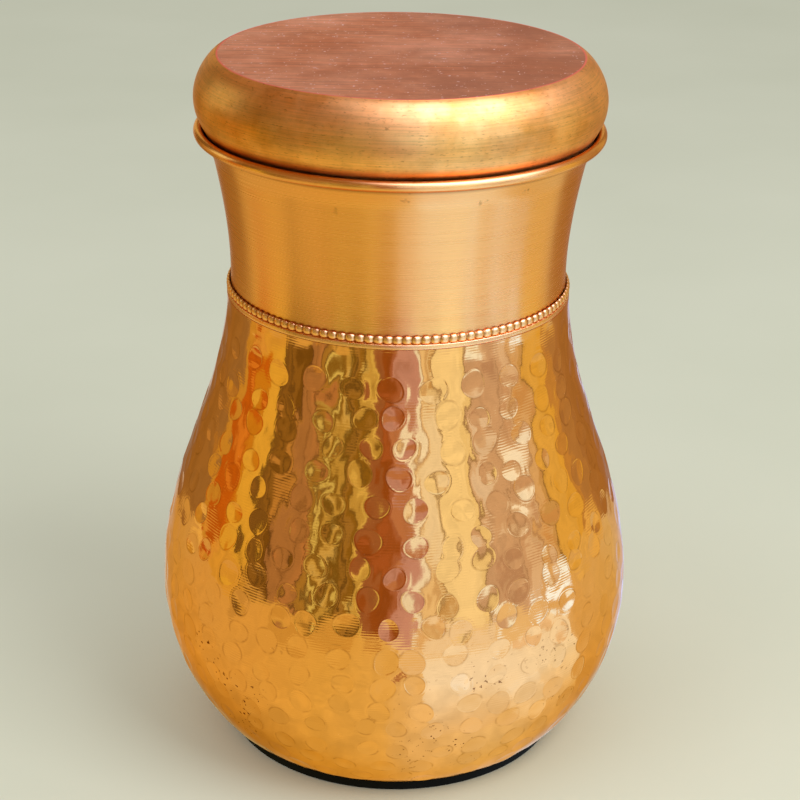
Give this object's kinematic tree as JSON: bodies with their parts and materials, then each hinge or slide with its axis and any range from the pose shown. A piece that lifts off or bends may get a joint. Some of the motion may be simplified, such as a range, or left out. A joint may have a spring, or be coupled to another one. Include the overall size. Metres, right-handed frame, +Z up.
{
  "type": "lidded copper water jug",
  "caption": "Round hammered copper water jug with a plain flared neck, a beaded band over the joint, a black rubber foot ring and a lift-off domed-side lid.",
  "frame": {"origin": "middle of the rubber foot's underside, on the surface that the jug stands on", "axes": "+Z up along the jug's axis of revolution, through the middle of the mouth; +X and +Y are any two square directions, as the jug is round"},
  "size_m": [0.14, 0.14, 0.207],
  "materials": {
    "black_rubber": "satin black moulded rubber",
    "hammered_copper": "mirror polished and lacquered copper with round hammer marks",
    "satin_copper": "satin spun copper",
    "beaded_copper": "polished stamped copper pearls, darker between the pearls",
    "brushed_copper": "lathe brushed copper side with a matt, finely scratched flat top",
    "plain_copper": "dull unpolished copper"
  },
  "bodies": {
    "jug": {"rubber_foot": "black_rubber", "hammered_body": "hammered_copper", "neck": "satin_copper", "beaded_band": "beaded_copper"},
    "lid": {"lid_cap": "brushed_copper", "lid_collar": "plain_copper"}
  },
  "joints": [
    {"name": "lid_lift", "type": "slide", "parent": "jug", "child": "lid", "axis": [0, 0, 1], "range_m": [0, 0.12]}
  ]
}
